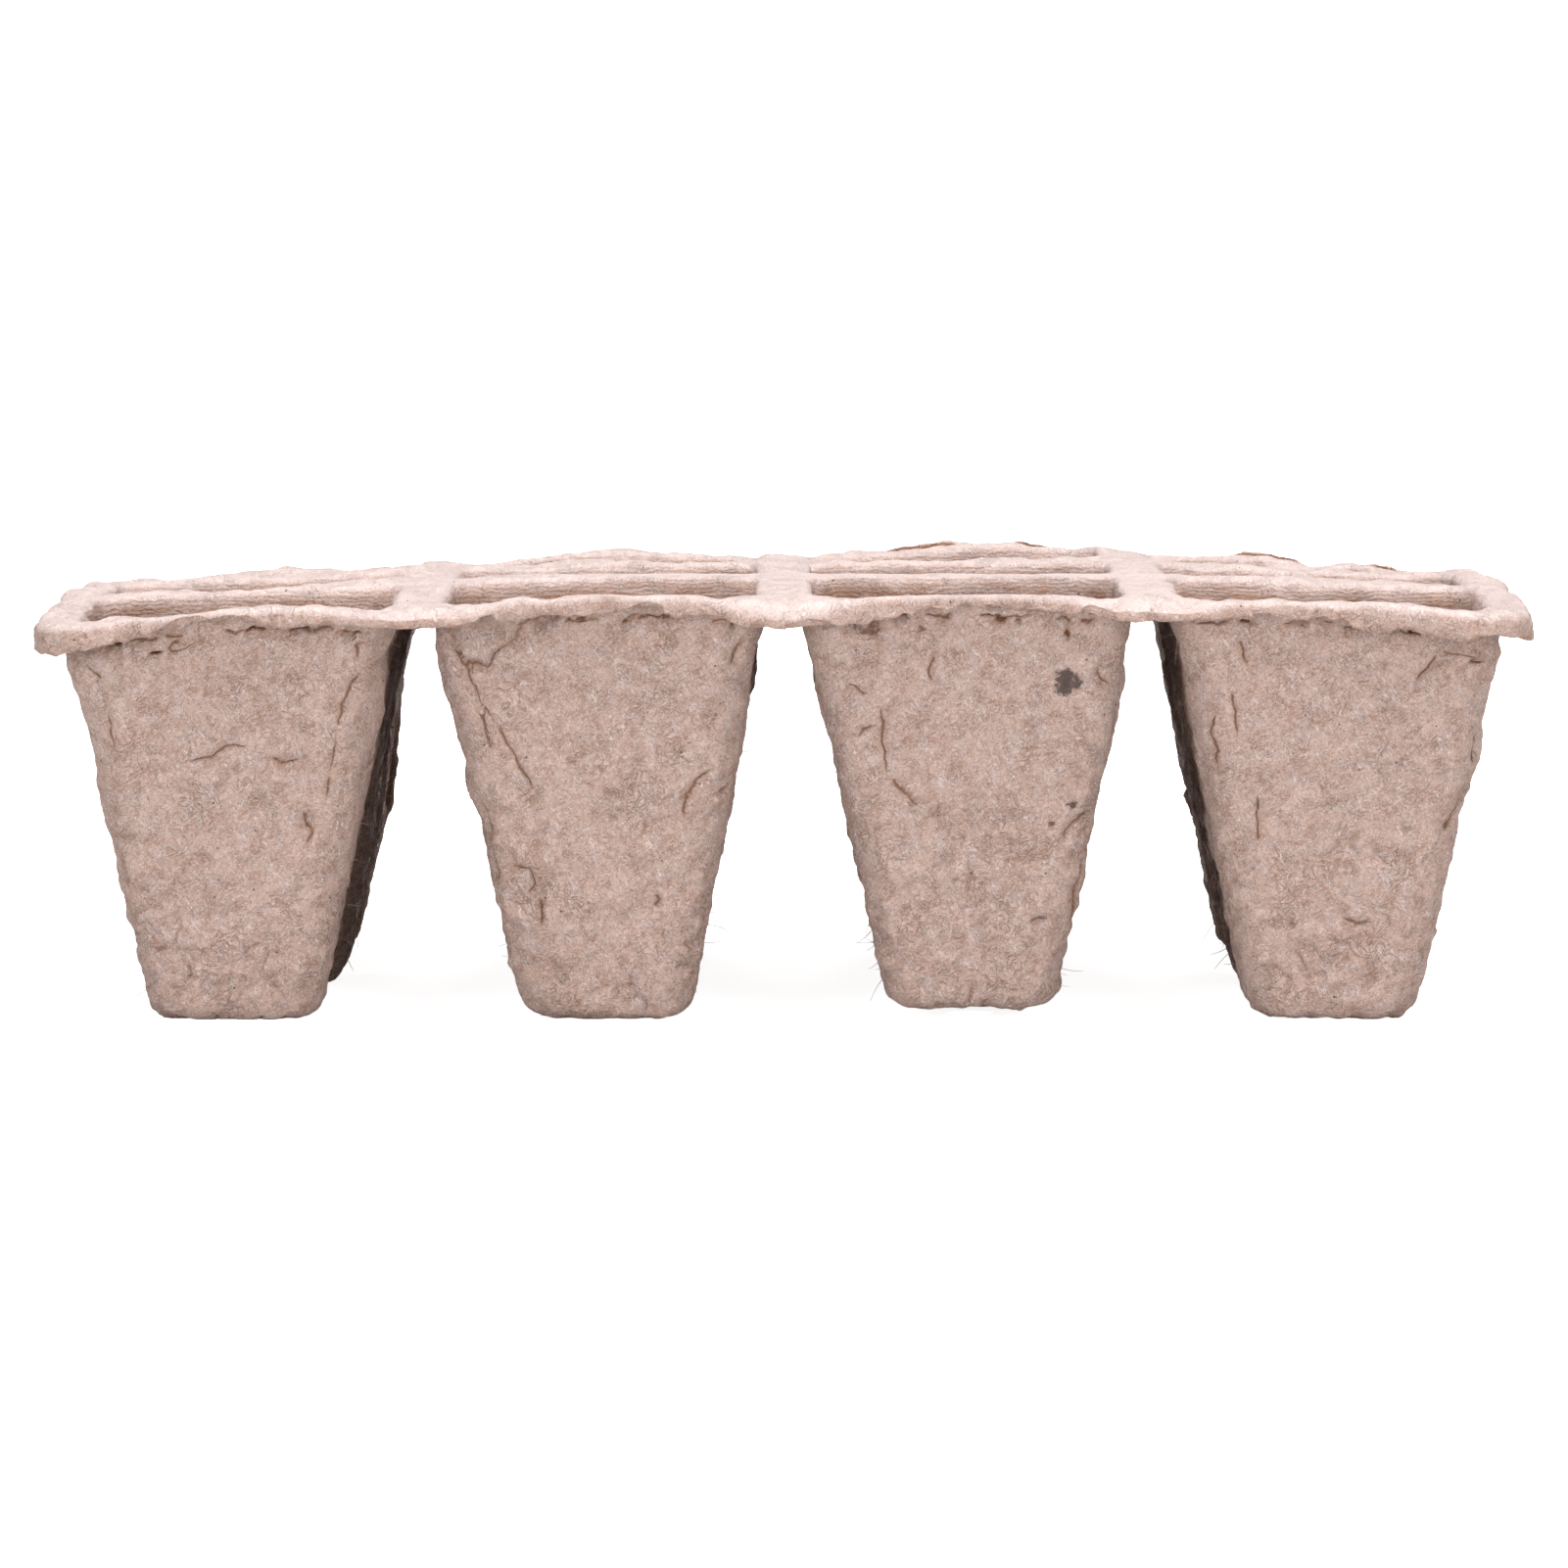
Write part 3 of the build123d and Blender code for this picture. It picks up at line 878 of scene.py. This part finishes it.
class PEAT_OT_fibres(bpy.types.Operator):
    """Build the loose fibres that stand out from the walls"""

    bl_idname = "peat.fibres"
    bl_label = "Build loose fibres"

    def execute(self, context):
        look = context.scene.fibre_sizes
        plain = self.plain_fibre()
        for row, row_name in enumerate(ROW_NAMES):
            chance = np.random.default_rng(500 + row)
            bm = bmesh.new()
            for column in range(POTS_ACROSS):
                pot = bpy.data.objects[f"{row_name}_pot_{column + 1}_pulp"].data
                places, ways = np.zeros((2, len(pot.vertices) * 3))
                pot.vertices.foreach_get("co", places)
                pot.vertices.foreach_get("normal", ways)
                places, ways = places.reshape(-1, 3), ways.reshape(-1, 3)
                outward = places[:, :2] - pot_centre(column, row, context.scene.pot_sizes)
                facing = (outward * ways[:, :2]).sum(axis=1) > 0
                height = places[:, 2]
                on_wall = facing & (np.abs(ways[:, 2]) < 0.8) & (height > FIBRES_FROM) & (height < FIBRES_TO)
                to_side = on_wall & (np.abs(ways[:, 0]) > 0.6)
                under_rim = (ways[:, 2] < -0.3) & (height > RIM_FIBRES_FROM)
                for share, picked in zip(FIBRE_SHARES, (on_wall, to_side, under_rim)):
                    for at in chance.choice(np.flatnonzero(picked), int(look.count * share)):
                        self.curl(bm, plain, chance, Vector(places[at]), Vector(ways[at]), look)
            mesh = bpy.data.meshes.new(row_name + "_fibres")
            bm.to_mesh(mesh)
            bm.free()
            mesh.shade_smooth()
            mesh.materials.append(bpy.data.materials["moulded_pulp"])
            piece = bpy.data.objects.new(row_name + "_fibres", mesh)
            context.scene.collection.objects.link(piece)
            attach(piece, "root")
        bpy.data.meshes.remove(plain)
        return {"FINISHED"}

    def plain_fibre(self):
        """A straight fibre of length 1 and radius 1, thinner at its tip."""
        bm = bmesh.new()
        bmesh.ops.create_cone(bm, cap_ends=True, segments=3, radius1=1.0, radius2=0.5, depth=1.0)
        lengthwise = [e for e in bm.edges if abs(e.verts[0].co.z - e.verts[1].co.z) > 0.5]
        bmesh.ops.subdivide_edges(bm, edges=lengthwise, cuts=4)
        bmesh.ops.translate(bm, verts=bm.verts, vec=(0, 0, 0.5))
        mesh = bpy.data.meshes.new("plain_fibre")
        bm.to_mesh(mesh)
        bm.free()
        return mesh

    def curl(self, bm, plain, chance, root, out, look):
        """Add one curled fibre, rooted just inside the wall."""
        before = len(bm.verts)
        bm.from_mesh(plain)
        bm.verts.ensure_lookup_table()
        thick = look.thickness / 2
        long = look.longest * chance.uniform(0.3, 1.0) ** 1.5
        ahead = (out * 0.9 + Vector(chance.uniform(-1, 1, 3)) * 0.8 + Vector((0, 0, -0.3))).normalized()
        turn = ahead.to_track_quat("Z", "Y")
        side = ahead.cross(Vector(chance.uniform(-1, 1, 3))).normalized() * long * chance.uniform(0.1, 0.7)
        for vertex in bm.verts[before:]:
            share = vertex.co.z
            level = Vector((vertex.co.x, vertex.co.y, 0)) * thick
            vertex.co = root - out * 3 * thick + turn @ level + ahead * long * share + side * share ** 2


# Shader sums.


class Wire:
    """A node's output that can stand in a sum. Each operator adds one Math node."""

    def __init__(self, paint, socket):
        self.paint = paint
        self.socket = socket

    def _sum(self, operation, *values):
        return self.paint.node("ShaderNodeMath", {"operation": operation}, dict(enumerate(values)))

    def __add__(self, other):
        return self._sum("ADD", self, other)

    __radd__ = __add__

    def __sub__(self, other):
        return self._sum("SUBTRACT", self, other)

    def __rsub__(self, other):
        return self._sum("SUBTRACT", other, self)

    def __mul__(self, other):
        return self._sum("MULTIPLY", self, other)

    __rmul__ = __mul__

    def __abs__(self):
        return self._sum("ABSOLUTE", self)

    def over(self, low, high):
        """0 below low, 1 above high, and an even curve between them."""
        limits = {"Value": self, "From Min": low, "From Max": high}
        return self.paint.node("ShaderNodeMapRange", {"interpolation_type": "SMOOTHSTEP"}, limits)


class Paint:
    """The node tree of a material or of the world, with one method that adds a node."""

    def __init__(self, owner):
        owner.use_nodes = True
        self.owner = owner
        self.tree = owner.node_tree
        self.tree.nodes.clear()

    def node(self, kind, settings=None, inputs=None, output=0):
        node = self.tree.nodes.new(kind)
        for name, value in (settings or {}).items():
            setattr(node, name, value)
        for name, value in (inputs or {}).items():
            if isinstance(value, Wire):
                self.tree.links.new(value.socket, node.inputs[name])
            else:
                node.inputs[name].default_value = value
        return Wire(self, node.outputs[output])

    def mix(self, share, first, second):
        """One colour over another."""
        shades = [value if isinstance(value, Wire) else (*value, 1.0) for value in (first, second)]
        inputs = {"Factor": share, 6: shades[0], 7: shades[1]}
        return self.node("ShaderNodeMix", {"data_type": "RGBA"}, inputs, output=2)

    def finish(self, surface, kind="ShaderNodeOutputMaterial"):
        """Joins the surface to the tree's output and gives back what the tree belongs to."""
        end = self.tree.nodes.new(kind)
        self.tree.links.new(surface.socket, end.inputs["Surface"])
        return self.owner


def pulp(look):
    """Moulded pulp: mottled fibres, dark specks, pale glints and torn places, with painted light on the upper
    faces and painted shade in creases, holes, puckers and inside the pots.
    """
    paint = Paint(bpy.data.materials.new("moulded_pulp"))
    place = paint.node("ShaderNodeTexCoord", output=3)
    millimetres = paint.node("ShaderNodeVectorMath", {"operation": "SCALE"}, {0: place, "Scale": 1 / MM})

    def mark(name):
        return paint.node("ShaderNodeAttribute", {"attribute_name": name}, output=2)

    def noise(scale, detail=3.0, roughness=0.55, stretch=None, turn=None, twist=0.0):
        where = millimetres
        if turn:
            turned = {"Vector": where, "Rotation": turn}
            where = paint.node("ShaderNodeVectorRotate", {"rotation_type": "EULER_XYZ"}, turned)
        if stretch:
            where = paint.node("ShaderNodeVectorMath", {"operation": "MULTIPLY"}, {0: where, 1: stretch})
        return paint.node(
            "ShaderNodeTexNoise", {},
            {"Vector": where, "Scale": scale, "Detail": detail, "Roughness": roughness, "Distortion": twist},
        )

    def specks(scale, size, share, shift):
        """Small dots in some of the cells of a random pattern."""
        where = paint.node("ShaderNodeVectorMath", {"operation": "ADD"}, {0: millimetres, 1: (shift,) * 3})
        cells = paint.node("ShaderNodeTexVoronoi", {"feature": "F1"}, {"Vector": where, "Scale": scale})
        pick = Wire(paint, cells.socket.node.outputs["Color"])
        red = paint.node("ShaderNodeSeparateColor", {}, {"Color": pick})
        return (1 - cells.over(size * scale * 0.5, size * scale)) * red.over(1 - share - 0.001, 1 - share)

    top, inside, torn, hole, seam, spots, edge = (
        mark(name) for name in ("top", "inside", "torn", "hole", "seam", "spots", "edge")
    )
    up = paint.node("ShaderNodeSeparateXYZ", {}, {"Vector": millimetres}, output=2)
    blotch = noise(0.12, 3.0, 0.6)
    cloud = noise(0.6, 4.0, 0.6, twist=0.6)
    grain = noise(2.0, 5.0, 0.65, twist=0.9)
    fine = noise(5.0, 3.0, 0.7, twist=0.5)
    # Long fibres lie four ways: thin lines where a stretched noise crosses its middle.
    strands = [
        1 - abs(noise(1.0, 1.0, 0.5, stretch=(0.45, 2.4, 2.4), turn=turn, twist=0.9) - 0.5).over(0.01, 0.065)
        for turn in ((0.0, 0.5, 0.3), (0.4, 1.2, -0.5), (-0.3, -0.8, 1.0), (0.2, 2.2, 0.4))
    ]
    dark_strands = strands[0] * noise(0.45, 2.0).over(0.42, 0.64)
    dark_strands += strands[1] * noise(0.5, 1.0).over(0.44, 0.66)
    pale_strands = strands[2] * noise(0.6, 1.0).over(0.45, 0.6)
    pale_strands += strands[3] * noise(0.4, 2.0).over(0.5, 0.65)
    # Short puckers, more of them low on the wall, with painted shade in their valleys.
    patches = (noise(0.16, 2.0) + up * -0.0016).over(0.43, 0.60)
    pucker = (1 - abs(noise(0.42, 2.0, 0.5, twist=1.6) - 0.5).over(0.0, 0.05)) * patches
    # Level folds inside the pots, and the weave that the mould's screen leaves there.
    folds = noise(1.0, 3.0, 0.6, stretch=(0.2, 0.2, 0.75), twist=0.9)
    waver = (noise(0.8, 2.0) - 0.5) * 11.0 + (noise(0.25, 1.0) - 0.5) * 10.0
    weave = paint.node("ShaderNodeMath", {"operation": "SINE"}, {0: up * 11.5 + waver})

    stipple = ((fine - 0.5) * 4.6 + (grain - 0.5) * 1.8 + 0.5).over(0.05, 0.95)
    # Creases are thin cracks with a browner edge and painted shade dark in the crack. Holes are ragged, with
    # painted shade darker towards their middle.
    wander = seam + (grain - 0.5) * 0.5
    halo = (1 - abs(wander).over(0.0, 0.6)) * torn
    broken = (torn + (cloud - 0.5) * 2.0 + (grain - 0.5) * 1.2).over(0.3, 0.9)
    crack = (1 - abs(wander).over(0.0, 0.2)) * broken
    frayed = hole + (grain - 0.5) * 0.9
    # Along the hem's lip, patches of torn brown: partly torn pulp, partly painted shade under the hem.
    hem_tear_and_shade = edge * (cloud + grain - 1.0).over(0.0, 0.22)
    smear = spots + (grain - 0.5) * 2.0 + (cloud - 0.5) * 2.5 + (fine - 0.5)

    tone = (blotch - 0.5) * 0.25 + (cloud - 0.5) * 0.15 + (grain - 0.5) * 1.9 + (fine - 0.5) * 1.9 + 0.5
    shade = paint.mix(tone.over(0.0, 1.0), look.dark, look.pale_tone_and_painted_light)
    for share, over in (
        (0.34, look.body),
        # Dark fibres, fewer on the upper faces, which get painted light.
        (dark_strands * (1 - top * 0.7) * 0.66, look.dark),
        (pale_strands * 0.55, look.pale),
        # Painted shade in the puckers' valleys.
        (pucker * 0.26, look.torn),
        # The upper faces get painted top light, pale with a stipple.
        (top * 0.9, paint.mix(stipple, look.pale_tone_and_painted_light, look.pale)),
        # Inside the pots the walls are folded and woven: painted fill light, then painted shade in the torn
        # brown, deeper in the folds and less near the mouth, and the mould screen's weave.
        (inside * (1 - top) * 0.35, look.pale_tone_and_painted_light),
        (inside * (1 - top * 0.8) * (folds.over(0.42, 0.60) * 0.62 + 0.17), look.torn),
        (inside * weave.over(-0.2, 1.0) * (grain.over(0.38, 0.62) * 0.44 + 0.09), look.torn),
        (specks(0.42, 0.19, 0.30, 3.0) * 0.9, look.speck),
        (specks(0.9, 0.15, 0.5, 17.0) * 0.75, look.dark),
        (specks(0.36, 0.13, 0.25, 41.0) * 0.9, look.glint),
        (halo * 0.5 + frayed.over(0.3, 0.6) * 0.65 + hem_tear_and_shade * 0.7, look.torn),
        (crack * 0.75 + frayed.over(0.55, 0.75) * 0.9, look.crack),
        (spots.over(0.0, 0.3) * smear.over(0.35, 0.9) * 0.9, look.stain),
    ):
        shade = paint.mix(share, shade, over)
    relief = (
        cloud * 0.6 + grain * 1.2 + fine * 0.6 + pale_strands * 0.3 - dark_strands * 0.2 - pucker * 0.75
        + inside * (weave * 0.15 + folds * 0.9) - crack * 0.6 - edge * grain * 0.5
    )
    bumps = {"Strength": 1.0, "Distance": 0.5 * MM, "Height": relief * (1 - top * 0.5)}
    finish = {"Base Color": shade, "Roughness": look.roughness, "Specular IOR Level": 0.2}
    finish["Normal"] = paint.node("ShaderNodeBump", {}, bumps)
    return paint.finish(paint.node("ShaderNodeBsdfPrincipled", {}, finish))


# How much of the backdrop's white the floor glows with beside the tray, and where that grows to all of it.
FLOOR_GLOW, GLOW_FROM, GLOW_FULL = 0.87, 0.10, 0.45
# Each lamp's name, its place and its size, in metres, and the value that holds its power.
LAMPS = (
    ("key", (0.10, -0.45, 1.30), 0.9, "key"),
    ("front_left", (-0.8, -1.2, 0.28), 0.7, "front"),
    ("front_right", (0.8, -1.2, 0.28), 0.7, "front"),
    ("back_left", (-0.16, 1.2, 0.11), 0.2, "back"),
    ("back_right", (0.16, 1.2, 0.11), 0.2, "back"),
)
# Where they all point.
LAMP_TARGET = Vector((0, 0, 0.03))


class PEAT_OT_stage(bpy.types.Operator):
    """Set up the floor, the lamps and the camera"""

    bl_idname = "peat.stage"
    bl_label = "Set the stage"

    def execute(self, context):
        look = context.scene.stage_look
        scene = context.scene
        scene.world = self.sky(look)
        bm = bmesh.new()
        bmesh.ops.create_circle(bm, cap_ends=True, segments=64, radius=3.0)
        mesh = bpy.data.meshes.new("floor")
        bm.to_mesh(mesh)
        bm.free()
        mesh.materials.append(self.floor_paint(look))
        floor = bpy.data.objects.new("floor", mesh)
        scene.collection.objects.link(floor)
        for name, place, size, power_name in LAMPS:
            data = bpy.data.lights.new(name, "AREA")
            data.shape = "DISK"
            data.size = size
            data.energy = getattr(look, power_name)
            lamp = bpy.data.objects.new(name, data)
            lamp.location = place
            lamp.visible_camera = False
            lamp.rotation_euler = (LAMP_TARGET - Vector(place)).to_track_quat("-Z", "Y").to_euler()
            scene.collection.objects.link(lamp)
        data = bpy.data.cameras.new("camera")
        data.lens = data.sensor_width * FOCAL_PIXELS / PHOTO_PIXELS
        camera = bpy.data.objects.new("camera", data)
        camera.location = (0.0, -CAMERA_BACK, CAMERA_UP)
        camera.rotation_euler = (math.radians(90 - CAMERA_DOWN), 0, 0)
        scene.collection.objects.link(camera)
        scene.camera = camera
        scene.view_settings.view_transform = "Standard"
        return {"FINISHED"}

    def sky(self, look):
        """The light from all round, and the backdrop that the camera sees in its place."""
        paint = Paint(bpy.data.worlds.new("studio"))
        air = paint.node("ShaderNodeBackground", {}, {"Color": (1, 1, 1, 1), "Strength": look.air})
        white = paint.node("ShaderNodeBackground", {}, {"Color": (*look.backdrop, 1), "Strength": 1.0})
        rays = [paint.node("ShaderNodeLightPath", output=name) for name in ("Is Camera Ray", "Is Glossy Ray")]
        seen = paint.node("ShaderNodeMath", {"operation": "MAXIMUM"}, dict(enumerate(rays)))
        mixed = paint.node("ShaderNodeMixShader", {}, {0: seen, 1: air, 2: white})
        return paint.finish(mixed, "ShaderNodeOutputWorld")

    def floor_paint(self, look):
        """A pale floor that keeps the shadow, and melts into the backdrop further out."""
        paint = Paint(bpy.data.materials.new("floor"))
        diffuse = paint.node("ShaderNodeBsdfDiffuse", {}, {"Color": (*look.floor, 1)})
        place = paint.node("ShaderNodeTexCoord", output=3)
        away = paint.node("ShaderNodeVectorMath", {"operation": "LENGTH"}, {0: place}, output=1)
        near = [part * FLOOR_GLOW for part in look.backdrop]
        haze = paint.mix(away.over(GLOW_FROM, GLOW_FULL), near, look.backdrop)
        glow = paint.node("ShaderNodeEmission", {}, {"Color": haze})
        both = paint.node("ShaderNodeAddShader", {}, {0: diffuse, 1: glow})
        camera_ray = paint.node("ShaderNodeLightPath")
        return paint.finish(paint.node("ShaderNodeMixShader", {}, {0: camera_ray, 1: diffuse, 2: both}))


class PEAT_PT_panel(bpy.types.Panel):
    bl_label = "Peat tray"
    bl_idname = "PEAT_PT_panel"
    bl_space_type = "VIEW_3D"
    bl_region_type = "UI"
    bl_category = "Peat tray"

    def draw(self, context):
        for kind in OPERATORS:
            self.layout.operator(kind.bl_idname)
        for group_name in GROUPS:
            group = getattr(context.scene, group_name)
            for name in type(group).__annotations__:
                self.layout.prop(group, name)


GROUPS = {"pot_sizes": PotSizes, "fibre_sizes": FibreSizes, "pulp_look": PulpLook, "stage_look": StageLook}
OPERATORS = (PEAT_OT_pots, PEAT_OT_fibres, PEAT_OT_stage)


def register():
    for kind in (*GROUPS.values(), *OPERATORS, PEAT_PT_panel):
        bpy.utils.register_class(kind)
    for name, group in GROUPS.items():
        setattr(bpy.types.Scene, name, bpy.props.PointerProperty(type=group))


def unregister():
    for name in GROUPS:
        delattr(bpy.types.Scene, name)
    for kind in (PEAT_PT_panel, *OPERATORS, *GROUPS.values()):
        bpy.utils.unregister_class(kind)


def main():
    register()
    bpy.ops.peat.pots()
    bpy.ops.peat.fibres()
    bpy.ops.peat.stage()


if __name__ == "__main__":
    main()
